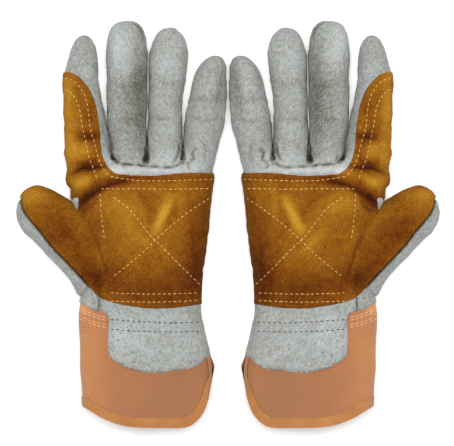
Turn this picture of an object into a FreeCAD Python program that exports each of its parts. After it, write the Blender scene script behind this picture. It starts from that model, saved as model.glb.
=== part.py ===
import FreeCAD, Part
import math
import os

import Sketcher

# A pair of leather gardening gloves lying palm up on a flat surface, fingers towards +Y, in millimetres.
# One glove is built at X > 0 with its thumb towards +X, and every piece is mirrored across X = 0 for the
# other glove. While a glove is being built, Y is measured from the hem of its cuff; the finished pieces are
# then shifted by half the glove's length, so that the origin is under the middle of the pair.
# Each leather skin is cut where a knuckle folds, because the lengths on each side of a fold move apart.

DIMS = {
    "glove_length": 270.0,
    # Thickness of each material.
    "leather": 1.8,
    "patch": 1.4,
    "lining": 1.0,
    "cuff_cloth": 1.6,
    "tape": 0.8,
    # Play left across a fold, on each side of it.
    "fold_gap": 0.3,
    # Hand: the flat tube between the wrist fold and the roots of the fingers. It sinks a little below the
    # ground and is cut off level there.
    "hand_depth": 30.0,
    "hand_sink": 0.2,
    "hand_round": 12.0,
    "hand_wrist_y": 79.0,
    "hand_root_y": 182.0,
    "hand_wrist_in": 18.5,
    "hand_wrist_out": 97.6,
    "hand_palm_y": 150.0,
    "hand_palm_in": 11.8,
    "hand_palm_out": 104.0,
    "hand_root_in": 8.5,
    "hand_root_out": 108.5,
    "crotch_x": 104.0,
    "crotch_y": 150.0,
    "heel_x": 98.0,
    "heel_y": 84.0,
    # Cuff: a wider flat tube, open at the hem and split up its little-finger side.
    "cuff_floor": 0.9,
    "cuff_depth": 32.0,
    "cuff_round": 13.0,
    "cuff_top_y": 77.6,
    "cuff_top_in": 18.0,
    "cuff_flare_y": 45.0,
    "cuff_flare_in": 11.8,
    "cuff_flare_out": 97.2,
    "cuff_hem_out": 95.6,
    "cuff_top_out": 97.9,
    "hem_corner_in": 10.9,
    "hem_corner_round": 26.0,
    "hem_flat_end": 58.0,
    "hem_slant_x": 112.0,
    "hem_slant_y": 19.3,
    "hem_bend_round": 60.0,
    "tape_width": 6.6,
    "hem_slant_rise": 1.06,
    "tape_top_y": 48.0,
    "slit_width": 2.4,
    "slit_depth": 26.0,
    "slit_top_y": 50.0,
    # Wrist patch over the cuff.
    "wrist_patch_out": 79.3,
    "wrist_patch_side_y": 50.0,
    "wrist_patch_low_x": 50.0,
    "wrist_patch_low_y": 36.6,
    # Gold palm patch.
    "palm_patch_low_y": 80.5,
    "palm_patch_top_y": 168.0,
    "palm_patch_step_x": 74.0,
    "palm_patch_rise_x": 79.0,
    "palm_patch_heel_x": 90.0,
    # Gold index patch: where its rounded end begins on the inner side, and its highest reach.
    "index_patch_in": 86.5,
    "index_patch_in_y": 214.0,
    "index_patch_mid": 94.0,
    "index_patch_mid_y": 230.0,
    "index_patch_top_y": 236.0,
    # Strips inside the hand.
    "lining_in": 24.0,
    "lining_out": 92.0,
    "lining_low_y": 84.0,
    "lining_top_y": 176.0,
    "elastic_in": 30.0,
    "elastic_out": 88.0,
    "elastic_y": 86.0,
    "elastic_width": 8.0,
    # Fingers and thumb: depth over width, and where each one's second fold lies.
    "digit_floor": 1.0,
    "finger_flatness": 0.84,
    "thumb_flatness": 0.72,
    "index_fold_y": 217.0,
    "middle_fold_y": 222.0,
    "ring_fold_y": 219.0,
    "little_fold_y": 211.0,
    "thumb_fold_s": 24.0,
    # Thumb: its tip, and the turn of its axis from +Y towards +X.
    "thumb_tip_x": 135.8,
    "thumb_tip_y": 156.9,
    "thumb_turn": 44.5,
}

# Stations along each finger: distance from the hem, centre and half width.
FINGERS = {
    "index": [
        (182.0, 93.4, 14.9),
        (198.0, 95.0, 14.2),
        (217.0, 96.7, 12.8),
        (236.0, 97.3, 11.6),
        (250.0, 96.4, 9.3),
        (257.0, 96.2, 6.2),
        (261.0, 96.2, 1.8),
    ],
    "middle": [
        (182.0, 65.9, 11.3),
        (198.0, 67.2, 12.5),
        (222.0, 67.5, 13.6),
        (243.0, 67.2, 13.9),
        (259.0, 67.3, 12.6),
        (266.5, 67.5, 8.8),
        (270.0, 67.6, 2.6),
    ],
    "ring": [
        (182.0, 42.7, 10.9),
        (200.0, 42.3, 10.9),
        (219.0, 41.3, 11.2),
        (238.0, 39.7, 12.5),
        (252.0, 38.7, 12.2),
        (261.0, 38.8, 8.6),
        (265.7, 39.1, 2.0),
    ],
    "little": [
        (182.0, 19.4, 10.8),
        (197.0, 17.0, 11.8),
        (211.0, 14.0, 12.9),
        (224.0, 12.5, 11.8),
        (236.0, 11.0, 9.6),
        (243.0, 10.0, 6.4),
        (247.0, 9.4, 1.8),
    ],
}

# Stations back from the thumb's tip along its axis: distance and half width.
THUMB = [(64.0, 20.0), (46.0, 18.2), (29.0, 16.0), (14.0, 13.6), (6.0, 10.6), (2.2, 7.0), (0.4, 2.6)]

# Longer than any piece, for the blocks that cut the forms.
FAR = 160.0
# How far an inner form runs past an open end.
PAST = 5.0
NEAR = 0.5

doc = FreeCAD.newDocument("gardening_gloves")
sheet = doc.addObject("Spreadsheet::Sheet", "Dims")
nodes = []


def fill_sheet():
    """Puts every driving dimension in the sheet, one to a row, under its own alias."""
    values = dict(DIMS)
    for finger, stations in FINGERS.items():
        for i, (along, centre, half) in enumerate(stations):
            values[f"{finger}_along_{i}"] = along
            values[f"{finger}_centre_{i}"] = centre
            values[f"{finger}_half_{i}"] = half
    for i, (along, half) in enumerate(THUMB):
        values[f"thumb_along_{i}"] = along
        values[f"thumb_half_{i}"] = half
    for row, (alias, value) in enumerate(values.items(), start=1):
        sheet.set(f"A{row}", alias)
        sheet.set(f"B{row}", repr(value))
        sheet.setAlias(f"B{row}", alias)
    doc.recompute()


def amount(text):
    """The number that an expression over the sheet comes to."""
    return float(sheet.evalExpression(text))


def origin_plane(body, role):
    return next(f for f in body.Origin.OriginFeatures if f.Role == role)


def prism(name, points, low, high):
    """A body padded up from low to high over an outline whose corners are driven by the sheet."""
    body = doc.addObject("PartDesign::Body", name)
    sketch = body.newObject("Sketcher::SketchObject", name + "_outline")
    sketch.AttachmentSupport = [(origin_plane(body, "XY_Plane"), "")]
    sketch.MapMode = "FlatFace"
    sketch.setExpression("AttachmentOffset.Base.z", low)
    spots = [FreeCAD.Vector(amount(x), amount(y), 0) for x, y in points]
    count = len(spots)
    for i, spot in enumerate(spots):
        sketch.addGeometry(Part.LineSegment(spot, spots[(i + 1) % count]), False)
    for i in range(count):
        sketch.addConstraint(Sketcher.Constraint("Coincident", i, 2, (i + 1) % count, 1))
    for i, (x, y) in enumerate(points):
        for kind, text in (("DistanceX", x), ("DistanceY", y)):
            which = sketch.addConstraint(Sketcher.Constraint(kind, -1, 1, i, 1, amount(text)))
            sketch.setExpression(f"Constraints[{which}]", text)
    pad = body.newObject("PartDesign::Pad", name + "_pad")
    pad.Profile = sketch
    pad.setExpression("Length", f"({high}) - ({low})")
    body.Tip = pad
    doc.recompute()
    return body


def round_edges(body, radius, chosen):
    """Adds a fillet to the edges of the body's last feature that chosen() accepts."""
    base = body.Tip
    names = [f"Edge{i + 1}" for i, e in enumerate(base.Shape.Edges) if chosen(e)]
    fillet = body.newObject("PartDesign::Fillet", f"{body.Name}_round_{len(body.Group)}")
    fillet.Base = (base, names)
    fillet.setExpression("Radius", radius)
    body.Tip = fillet
    doc.recompute()
    return body


def upright_at(x, y):
    """A test for the upright edge that stands at x, y."""

    def test(edge):
        first, last = edge.Vertexes[0].Point, edge.Vertexes[-1].Point
        return math.hypot(first.x - x, first.y - y) < NEAR and abs(first.z - last.z) > 1

    return test


def block(name, corner, size, turn=0.0):
    """A box from its lowest corner, turned about that corner."""
    piece = doc.addObject("Part::Box", name)
    about_z = FreeCAD.Rotation(FreeCAD.Vector(0, 0, 1), turn)
    piece.Placement = FreeCAD.Placement(FreeCAD.Vector(), about_z)
    for prop, text in zip(("Length", "Width", "Height"), size):
        piece.setExpression(prop, str(text))
    for axis, text in zip("xyz", corner):
        piece.setExpression(f"Placement.Base.{axis}", str(text))
    return piece


def space(name, y=None, z=None):
    """A block as wide as the glove between two places along it, above or below a seam."""
    low_y, high_y = y or (f"-{FAR}", f"2 * {FAR}")
    low_z, high_z = z
    corner = (f"-{FAR}", low_y, low_z)
    return block(name, corner, (2 * FAR, f"({high_y}) - ({low_y})", f"({high_z}) - ({low_z})"))


def combine(kind, name, base, tools):
    """Applies one boolean step after another; only the last one takes the name."""
    for i, tool in enumerate(tools, start=1):
        piece = doc.addObject(kind, name if i == len(tools) else f"{name}_step_{i}")
        piece.Base = base
        piece.Tool = tool
        piece.Refine = False
        base = piece
    doc.recompute()
    return base


def cut(name, base, *tools):
    return combine("Part::Cut", name, base, tools)


def overlap(name, base, *tools):
    return combine("Part::Common", name, base, tools)


def node(piece, label):
    """Marks a finished piece and shifts it so that the origin is under the middle of the pair."""
    piece.Label = label
    piece.setExpression("Placement.Base.y", "-Dims.glove_length / 2")
    nodes.append(piece)


def oval(name, half, level, flatness, grow, x, y, turn):
    """An upright ellipse across a digit, centred as high as one of half width level would be."""
    piece = doc.addObject("Part::Ellipse", name)
    upright = FreeCAD.Rotation(FreeCAD.Vector(1, 0, 0), 90)
    turned = FreeCAD.Rotation(FreeCAD.Vector(0, 0, 1), turn)
    piece.Placement = FreeCAD.Placement(FreeCAD.Vector(), turned.multiply(upright))
    piece.setExpression("MajorRadius", f"{half} + ({grow})")
    piece.setExpression("MinorRadius", f"{half} * {flatness} + ({grow})")
    piece.setExpression("Placement.Base.x", x)
    piece.setExpression("Placement.Base.y", y)
    piece.setExpression("Placement.Base.z", f"{level} * {flatness} + Dims.digit_floor")
    return piece


def loft(name, sections, ruled=False):
    skin = doc.addObject("Part::Loft", name)
    skin.Sections = sections
    skin.Solid = True
    skin.Ruled = ruled
    doc.recompute()
    return skin


def finger_form(finger, label, grow, reach):
    """A finger's outside grown on every side, its root reaching back by a length of its own."""
    last = len(FINGERS[finger]) - 1
    sections = []
    for i in range(last + 1):
        step = f"- ({reach})" if i == 0 else (f"+ ({grow})" if i >= last - 1 else "")
        half = f"Dims.{finger}_half_{i}"
        along = f"Dims.{finger}_along_{i} {step}"
        centre = f"Dims.{finger}_centre_{i}"
        swell = "0" if i == last else grow
        level = f"Dims.{finger}_half_{min(i, last - 2)}"
        name = f"{finger}_{label}_{i}"
        sections.append(oval(name, half, level, "Dims.finger_flatness", swell, centre, along, 0))
    return loft(f"{finger}_{label}", sections)


def thumb_form(label, grow, reach):
    """The thumb's outside grown on every side, reaching back into the hand by a length of its own."""
    last = len(THUMB) - 1
    turn = DIMS["thumb_turn"]
    sections = []
    for i in range(last + 1):
        step = f"+ ({reach})" if i == 0 else (f"- ({grow})" if i >= last - 1 else "")
        x, y = thumb_spot(f"Dims.thumb_along_{i} {step}")
        swell = "0" if i == last else grow
        half = f"Dims.thumb_half_{i}"
        level = f"Dims.thumb_half_{min(i, last - 2)}"
        name = f"thumb_{label}_{i}"
        sections.append(oval(name, half, level, "Dims.thumb_flatness", swell, x, y, -turn))
    return loft(f"thumb_{label}", sections)


def thumb_spot(back, aside="0"):
    """The place back from the thumb's tip along its axis, and aside from that axis."""
    sine, cosine = "sin(Dims.thumb_turn * 1deg)", "cos(Dims.thumb_turn * 1deg)"
    x = f"Dims.thumb_tip_x - ({back}) * {sine} + ({aside}) * {cosine}"
    y = f"Dims.thumb_tip_y - ({back}) * {cosine} - ({aside}) * {sine}"
    return x, y


def flat_section(name, left, right, low, high, radius, y):
    """An upright rounded rectangle across the glove, at a place along it."""
    sketch = doc.addObject("Sketcher::SketchObject", name)
    upright = FreeCAD.Rotation(FreeCAD.Vector(1, 0, 0), 90)
    sketch.Placement = FreeCAD.Placement(FreeCAD.Vector(), upright)
    sketch.setExpression("Placement.Base.y", y)
    x0, x1, z0, z1, r = map(amount, (left, right, low, high, radius))
    corners = [(x1 - r, z0 + r), (x1 - r, z1 - r), (x0 + r, z1 - r), (x0 + r, z0 + r)]
    for i, (x, z) in enumerate(corners):
        before, centre = corners[i - 1], FreeCAD.Vector(x, z, 0)
        out = FreeCAD.Vector((0, r, 0, -r)[i], (-r, 0, r, 0)[i], 0)
        sketch.addGeometry(Part.LineSegment(FreeCAD.Vector(*before, 0) + out, centre + out), False)
        ring = Part.Circle(centre, FreeCAD.Vector(0, 0, 1), r)
        turn = math.radians(90 * i)
        sketch.addGeometry(Part.ArcOfCircle(ring, turn - math.pi / 2, turn), False)
    for i in range(8):
        sketch.addConstraint(Sketcher.Constraint("Tangent", i, 2, (i + 1) % 8, 1))
    for line, kind in ((0, "Horizontal"), (2, "Vertical"), (4, "Horizontal"), (6, "Vertical")):
        sketch.addConstraint(Sketcher.Constraint(kind, line))
    for arc in (3, 5, 7):
        sketch.addConstraint(Sketcher.Constraint("Equal", 1, arc))
    for kind, line, text in (
        ("DistanceY", 0, low),
        ("DistanceX", 2, right),
        ("DistanceY", 4, high),
        ("DistanceX", 6, left),
    ):
        which = sketch.addConstraint(Sketcher.Constraint(kind, -1, 1, line, 1, amount(text)))
        sketch.setExpression(f"Constraints[{which}]", text)
    which = sketch.addConstraint(Sketcher.Constraint("Radius", 1, r))
    sketch.setExpression(f"Constraints[{which}]", radius)
    return sketch


def flat_tube(name, stations, grow, floor, depth, radius):
    """A flat tube through stations of (y, left, right), grown on every side of its section."""
    sections = [
        flat_section(
            f"{name}_{i}",
            f"{left} - ({grow})",
            f"{right} + ({grow})",
            f"{floor} - ({grow})",
            f"{floor} + {depth} + ({grow})",
            f"{radius} + ({grow})",
            y,
        )
        for i, (y, left, right) in enumerate(stations)
    ]
    return loft(name, sections, ruled=True)


def hand_form(label, grow, past="0"):
    """The hand's flat tube grown on every side, running past its wrist end."""
    stations = [
        (f"Dims.hand_wrist_y - ({past})", "Dims.hand_wrist_in", "Dims.hand_wrist_out"),
        ("Dims.hand_palm_y", "Dims.hand_palm_in", "Dims.hand_palm_out"),
        (f"Dims.hand_root_y + ({grow})", "Dims.hand_root_in", "Dims.hand_root_out"),
    ]
    floor, depth = "0 - Dims.hand_sink", "Dims.hand_depth + Dims.hand_sink"
    return flat_tube("hand_" + label, stations, grow, floor, depth, "Dims.hand_round")


def cuff_form(label, grow, past="0"):
    """The cuff's flat tube grown on its sides, running past both ends, before its hem is cut."""
    stations = [
        (f"0 - Dims.tape_width - ({past})", "Dims.cuff_flare_in", "Dims.cuff_hem_out"),
        ("Dims.cuff_flare_y", "Dims.cuff_flare_in", "Dims.cuff_flare_out"),
        (f"Dims.cuff_top_y + ({past})", "Dims.cuff_top_in", "Dims.cuff_top_out"),
    ]
    return flat_tube(
        "cuff_" + label, stations, grow, "Dims.cuff_floor", "Dims.cuff_depth", "Dims.cuff_round"
    )


def hem_form(label, inset):
    """Everything on the hand's side of the hem line, moved in by an inset."""
    corner = (f"Dims.hem_corner_in + ({inset})", inset)
    bend = ("Dims.hem_flat_end", inset)
    slant_y = f"Dims.hem_slant_y + ({inset}) * Dims.hem_slant_rise"
    points = [
        (corner[0], "Dims.glove_length"),
        corner,
        bend,
        ("Dims.hem_slant_x", slant_y),
        ("Dims.hem_slant_x", "Dims.glove_length"),
    ]
    body = prism("hem_" + label, points, "0 - Dims.cuff_depth", "2 * Dims.cuff_depth")
    round_edges(body, f"Dims.hem_corner_round - ({inset})", upright_at(*map(amount, corner)))
    return round_edges(body, f"Dims.hem_bend_round - ({inset})", upright_at(*map(amount, bend)))


def make_finger(name):
    """A finger: a front and a back skin, each cut at the finger's middle fold."""
    outer = finger_form(name, "outer", "0", "0")
    inner = finger_form(name, "inner", "0 - Dims.leather", PAST)
    skin = cut(name + "_skin", outer, inner)
    seam = f"Dims.{name}_half_2 * Dims.finger_flatness + Dims.digit_floor"
    root = "Dims.hand_root_y + Dims.fold_gap"
    fold = f"Dims.{name}_fold_y"
    spans = {
        "base": (root, f"{fold} - Dims.fold_gap"),
        "tip": (f"{fold} + Dims.fold_gap", f"Dims.glove_length + {PAST}"),
    }
    for part, span in spans.items():
        for side, height in (("front", (seam, FAR)), ("back", (f"-{FAR}", seam))):
            label = f"{name}_{part}_{side}"
            node(overlap(label, skin, space(label + "_space", span, height)), label)
    return outer, inner


def thumb_spaces():
    """The blocks outside the thumb's hinge line, and on each side of its middle fold."""
    run, rise = DIMS["crotch_x"] - DIMS["heel_x"], DIMS["crotch_y"] - DIMS["heel_y"]
    corner = ("Dims.heel_x + 2 * Dims.fold_gap", "Dims.heel_y", f"-{FAR}")
    outside = block("thumb_outside", corner, (FAR, FAR, 2 * FAR), -math.degrees(math.atan2(run, rise)))
    turn = -DIMS["thumb_turn"]
    tip = (*thumb_spot("Dims.thumb_fold_s - Dims.fold_gap", -FAR), f"-{FAR}")
    base = (*thumb_spot(f"Dims.thumb_fold_s + Dims.fold_gap + {FAR}", -FAR), f"-{FAR}")
    return {
        "base": [outside, block("thumb_base_space", base, (2 * FAR, FAR, 2 * FAR), turn)],
        "tip": [block("thumb_tip_space", tip, (2 * FAR, FAR, 2 * FAR), turn)],
    }


def make_thumb():
    """The thumb: a gold front and a grey back skin, each cut at the thumb's middle fold."""
    outer = thumb_form("outer", "0", "0")
    inner = thumb_form("inner", "0 - Dims.leather", "0")
    skin = cut("thumb_skin", outer, inner)
    seam = "Dims.thumb_half_2 * Dims.thumb_flatness + Dims.digit_floor"
    for part, spaces in thumb_spaces().items():
        for side, height in (("front", (seam, FAR)), ("back", (f"-{FAR}", seam))):
            label = f"thumb_{part}_{side}"
            half = space(label + "_half", z=height)
            node(overlap(label, skin, *spaces, half), label)
    return inner


def make_hand(digit_cavities):
    """The hand's palm and back leathers, open at the wrist and into every digit, and what lies inside."""
    outer = hand_form("outer", "0")
    inner = hand_form("inner", "0 - Dims.leather", PAST)
    skin = cut("hand_skin", outer, inner, *digit_cavities)
    seam = "Dims.hand_depth / 2"
    node(overlap("palm_leather", skin, space("palm_space", z=(seam, FAR))), "palm_leather")
    node(overlap("back_leather", skin, space("back_space", z=("0", seam))), "back_leather")
    within = hand_form("lining", "0 - Dims.leather - Dims.lining", 2 * PAST)
    strip = block(
        "lining_space",
        ("Dims.lining_in", "Dims.lining_low_y", seam),
        ("Dims.lining_out - Dims.lining_in", "Dims.lining_top_y - Dims.lining_low_y", "Dims.hand_depth"),
    )
    node(cut("palm_lining", overlap("lining_slab", inner, strip), within), "palm_lining")
    strip = block(
        "elastic_space",
        ("Dims.elastic_in", "Dims.elastic_y", 0),
        ("Dims.elastic_out - Dims.elastic_in", "Dims.elastic_width", "Dims.leather + Dims.lining"),
    )
    node(overlap("wrist_elastic", inner, strip), "wrist_elastic")
    return outer


def make_palm_patch(hand_outer):
    """The gold patch over the palm, up to the root fold of the index finger."""
    grown = hand_form("grown", "Dims.patch")
    edge = "Dims.crotch_x - Dims.patch"
    points = [
        (f"-{PAST}", "Dims.palm_patch_low_y"),
        (f"-{PAST}", "Dims.palm_patch_top_y"),
        ("Dims.palm_patch_step_x", "Dims.palm_patch_top_y"),
        ("Dims.palm_patch_rise_x", "Dims.hand_root_y - Dims.fold_gap"),
        ("Dims.hand_root_out + Dims.leather", "Dims.hand_root_y - Dims.fold_gap"),
        ("Dims.hand_root_out + Dims.leather", "Dims.crotch_y + Dims.hand_round"),
        (edge, "Dims.crotch_y"),
        ("Dims.heel_x - Dims.patch", "Dims.heel_y + Dims.leather"),
        ("Dims.palm_patch_heel_x", "Dims.palm_patch_low_y"),
    ]
    outline = prism("palm_patch_outline", points, "Dims.hand_depth / 2", "2 * Dims.hand_depth")
    node(cut("palm_patch", overlap("palm_patch_slab", grown, outline), hand_outer), "palm_patch")


def make_index_patch(index_outer):
    """The gold patch up the front of the index finger, cut at the finger's middle fold."""
    grown = finger_form("index", "grown", "Dims.patch", "0")
    outside = "Dims.index_centre_2 + 2 * Dims.index_half_2"
    root_in = "Dims.index_centre_0 - Dims.index_half_0 * 0.9"
    points = [
        (root_in, "Dims.hand_root_y + Dims.fold_gap"),
        ("Dims.index_patch_in", "Dims.index_patch_in_y"),
        ("Dims.index_patch_mid", "Dims.index_patch_mid_y"),
        ("Dims.index_centre_3 + Dims.leather", "Dims.index_patch_top_y"),
        (outside, "Dims.index_patch_top_y"),
        (outside, "Dims.hand_root_y + Dims.fold_gap"),
    ]
    seam = "Dims.index_half_2 * Dims.finger_flatness + Dims.digit_floor"
    outline = prism("index_patch_outline", points, "0", "2 * Dims.hand_depth")
    fold = "Dims.index_fold_y"
    spans = {
        "index_patch_base": ("Dims.hand_root_y", f"{fold} - Dims.fold_gap"),
        "index_patch_tip": (f"{fold} + Dims.fold_gap", "Dims.glove_length"),
    }
    for label, span in spans.items():
        slab = overlap(label + "_slab", grown, outline, space(label + "_space", span, (seam, FAR)))
        node(cut(label, slab, index_outer), label)


def make_cuff():
    """The rubberised cloth cuff, the tape folded over its hem, and the leather wrist patch sewn on it."""
    outer = cuff_form("outer", "0")
    inner = cuff_form("inner", "0 - Dims.cuff_cloth", PAST)
    middle = "Dims.cuff_floor + Dims.cuff_depth / 2"
    slit = block(
        "cuff_slit",
        (f"-{PAST}", f"-{2 * PAST}", f"{middle} - Dims.slit_width / 2"),
        (f"Dims.slit_depth + {PAST}", f"Dims.slit_top_y + {2 * PAST}", "Dims.slit_width"),
    )
    hemmed = overlap("cuff_hemmed", cut("cuff_tube", outer, inner), hem_form("cloth", "Dims.tape"))
    node(cut("cuff_cloth", hemmed, slit), "cuff_cloth")
    tape_outer = cuff_form("tape_outer", "Dims.tape", PAST)
    tape_inner = cuff_form("tape_inner", "0 - Dims.cuff_cloth - Dims.tape", 2 * PAST)
    sleeve = cut("tape_sleeve", tape_outer, tape_inner)
    below = space("tape_space", (f"-{FAR}", "Dims.tape_top_y"), (f"-{FAR}", FAR))
    folded = overlap("tape_hemmed", sleeve, hem_form("line", "0"), below)
    node(cut("hem_tape", folded, hem_form("band", "Dims.tape_width"), hemmed, slit), "hem_tape")
    grown = cuff_form("grown", "Dims.patch")
    points = [
        (f"-{PAST}", "Dims.cuff_top_y"),
        ("Dims.wrist_patch_out", "Dims.cuff_top_y"),
        ("Dims.wrist_patch_out", "Dims.wrist_patch_side_y"),
        ("Dims.wrist_patch_low_x + Dims.wrist_patch_low_x / 3", "Dims.wrist_patch_low_y + Dims.patch"),
        ("Dims.wrist_patch_low_x", "Dims.wrist_patch_low_y"),
        ("Dims.cuff_flare_in + Dims.tape_width + Dims.patch", "Dims.tape_top_y + Dims.patch"),
        (f"-{PAST}", "Dims.tape_top_y + Dims.patch"),
    ]
    outline = prism("wrist_patch_outline", points, f"{middle} + Dims.slit_width", "2 * Dims.cuff_depth")
    slab = overlap("wrist_patch_slab", grown, outline)
    node(cut("wrist_patch", slab, outer), "wrist_patch")


def mirror_all():
    """Every piece of the other glove, mirrored across X = 0."""
    for piece in list(nodes):
        twin = doc.addObject("Part::Mirroring", "left_" + piece.Label)
        twin.Source = piece
        twin.Base = FreeCAD.Vector(0, 0, 0)
        twin.Normal = FreeCAD.Vector(1, 0, 0)
        twin.Label = "left_" + piece.Label
        nodes.append(twin)
        piece.Label = "right_" + piece.Label
    doc.recompute()


def export():
    """Stops if anything failed, and writes each piece to parts/."""
    os.makedirs("parts", exist_ok=True)
    for piece in doc.Objects:
        if "Invalid" in piece.State or "Error" in piece.State:
            raise RuntimeError(f"{piece.Name} failed: {piece.State}")
    for piece in nodes:
        shape = piece.Shape
        if shape.isNull() or not shape.isValid() or not shape.Solids:
            raise RuntimeError(f"{piece.Label} has no valid solid")
        shape.exportStep(f"parts/{piece.Label}.step")
        print(f"{piece.Label:26s} {len(shape.Solids)} solid {shape.Volume:9.1f} mm3")


def main():
    fill_sheet()
    forms = {name: make_finger(name) for name in FINGERS}
    thumb_cavity = make_thumb()
    hand_outer = make_hand([*[inner for _, inner in forms.values()], thumb_cavity])
    make_palm_patch(hand_outer)
    make_index_patch(forms["index"][0])
    make_cuff()
    doc.recompute()
    mirror_all()
    export()


main()
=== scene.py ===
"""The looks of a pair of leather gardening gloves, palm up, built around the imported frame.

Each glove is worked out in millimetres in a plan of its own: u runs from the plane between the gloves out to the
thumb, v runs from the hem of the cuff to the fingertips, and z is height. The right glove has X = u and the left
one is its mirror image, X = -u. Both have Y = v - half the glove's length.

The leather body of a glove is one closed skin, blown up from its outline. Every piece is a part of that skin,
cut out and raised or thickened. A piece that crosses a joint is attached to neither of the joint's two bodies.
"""

import math

import bpy
import numpy as np
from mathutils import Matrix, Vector
from mathutils.bvhtree import BVHTree
from mathutils.kdtree import KDTree


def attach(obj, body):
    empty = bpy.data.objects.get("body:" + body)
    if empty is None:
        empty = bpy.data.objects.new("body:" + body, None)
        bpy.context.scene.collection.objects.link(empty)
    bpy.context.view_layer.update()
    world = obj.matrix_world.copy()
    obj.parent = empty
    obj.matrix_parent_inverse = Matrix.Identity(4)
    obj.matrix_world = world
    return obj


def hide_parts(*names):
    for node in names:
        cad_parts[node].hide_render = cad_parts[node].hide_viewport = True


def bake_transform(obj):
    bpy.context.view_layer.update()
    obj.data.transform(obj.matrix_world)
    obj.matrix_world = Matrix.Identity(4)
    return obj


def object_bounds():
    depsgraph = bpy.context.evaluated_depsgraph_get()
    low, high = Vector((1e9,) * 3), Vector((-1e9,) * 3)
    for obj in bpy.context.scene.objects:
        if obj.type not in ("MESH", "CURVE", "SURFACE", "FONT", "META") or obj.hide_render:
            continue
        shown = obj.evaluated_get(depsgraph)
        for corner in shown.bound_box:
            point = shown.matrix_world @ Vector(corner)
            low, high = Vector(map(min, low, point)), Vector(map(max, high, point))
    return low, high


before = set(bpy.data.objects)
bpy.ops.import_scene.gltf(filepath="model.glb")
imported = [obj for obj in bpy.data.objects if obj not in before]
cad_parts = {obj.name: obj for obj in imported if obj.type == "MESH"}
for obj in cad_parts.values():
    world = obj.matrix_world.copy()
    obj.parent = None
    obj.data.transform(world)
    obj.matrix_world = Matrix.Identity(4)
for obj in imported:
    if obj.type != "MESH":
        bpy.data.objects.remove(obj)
cad_box = [list(corner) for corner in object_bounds()]

MM = 0.001
HEM_Y = cad_box[0][1]
SIDES = {"right": 1, "left": -1}
# Where in the leather's pattern each glove is cut from, so that the two gloves differ.
PATTERN_SHIFT = {"right": (0, 0, 0), "left": (400, 130, 70)}
FINGERS = ("index", "middle", "ring", "little")

# ---- outlines in plan

# The palm and the cuff as one tube that runs on past the hem.
BODY = [
    (106.4, 186), (104.6, 171), (103.6, 161), (103.4, 153), (102.6, 147), (98.5, 139.5), (95, 130), (92.5, 120),
    (91, 110), (91.4, 100), (94.2, 92.5), (98.2, 86.5), (99.6, 80), (99.6, 52), (98.4, 25), (97.6, 0), (97.6, -40),
    (9.9, -40), (9.9, 0), (9.9, 28), (10, 41), (11.6, 49), (14.6, 61.4), (17.6, 75), (18.4, 86), (17.4, 101),
    (15.6, 117.8), (13.9, 131), (11.9, 150.9), (9.8, 172), (8.8, 179), (20, 184), (30, 185.5), (42, 181),
    (54.6, 178.8), (66, 181), (78, 183),
]
DIGITS = {
    "index": [
        (104.6, 160), (105.8, 172), (108, 196), (108.6, 235.8), (107.4, 241.5), (104.8, 250.4), (101.2, 257.9),
        (96, 261.1), (90.4, 258.6), (87, 250.4), (86, 234), (84.6, 220.6), (82, 207.3), (80.5, 197.4), (78.6, 187.4),
        (77.4, 160),
    ],
    "middle": [
        (76, 160), (76.4, 184), (79, 197.4), (80.4, 212), (80.9, 237), (80.5, 253.7), (79.4, 262.4), (75.6, 268.4),
        (67.7, 270.3), (60, 269.2), (55.6, 264.6), (54, 257), (54, 237), (53.9, 217), (54.1, 197.4), (54.2, 160),
    ],
    "ring": [
        (53.6, 160), (53.6, 187), (53.4, 200), (52.5, 217), (52.2, 237), (51.6, 249), (48.9, 259), (45, 264.2),
        (39.1, 265.7), (32.4, 263.7), (27.9, 257.7), (26, 249.1), (27.2, 240.5), (29.3, 223.9), (30.7, 210.6),
        (30.5, 194), (30.4, 160),
    ],
    "little": [
        (29.5, 160), (29.4, 186), (29, 197.4), (27.2, 210.6), (24.5, 223.9), (20.6, 238), (15.9, 244.2),
        (9.3, 247.4), (3.4, 244.8), (1.2, 238.4), (0.8, 225), (1.1, 213.9), (2.6, 200.7), (5.6, 187.4), (9.8, 172),
        (12, 160),
    ],
}
THUMB = [
    (104.6, 150.4), (111.5, 154.9), (118.1, 157.8), (123.4, 159.9), (127.6, 160.5), (131.6, 159.6), (136, 156.9),
    (138.8, 152.6), (140.3, 147), (140.4, 141.4), (139.4, 135.8), (136.2, 130), (130.4, 124.6), (123.4, 117.4),
    (116.6, 109.9), (109.4, 103), (104.2, 95.8), (100.4, 88.2), (97, 86), (90, 89.5), (82, 96.5), (77.6, 104),
    (77.5, 112), (80, 120), (84, 130), (89.5, 138.6), (97.4, 144.8),
]

# Where the thumb's gold front meets its grey back, seen from above.
THUMB_SEAM = [
    (142, 156), (138, 150.9), (136.7, 145.6), (132.7, 139), (124.7, 129.7), (119.4, 122.4), (111.5, 113.8),
    (98.2, 99.8), (91.5, 92.5), (84.9, 86.6), (80, 82),
]
# The gold patch over the palm and up the index finger. It wraps round both sides of the hand.
GOLD = [
    (120, 236), (109.1, 235.8), (104.8, 235.6), (100.4, 233.6), (95.3, 229.2), (90.9, 222.6), (88.2, 215.9),
    (86.2, 207.3), (84.9, 197.4), (84.2, 187.4), (82.3, 178.8), (79.4, 173), (75.8, 169.6), (71.6, 168),
    (51.7, 166.8), (28.5, 168.8), (10.6, 168.8), (-10, 168.8), (-10, 81.5), (18.6, 81.5), (31.8, 79.8), (45.1, 78.9),
    (55.1, 79.3), (68.3, 81.3), (78, 83.3), (84.4, 86), (91.5, 92.5), (100, 101.4), (99.4, 144.6), (99, 151.8),
    (102.6, 152), (104, 150), (120, 148),
]
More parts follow.
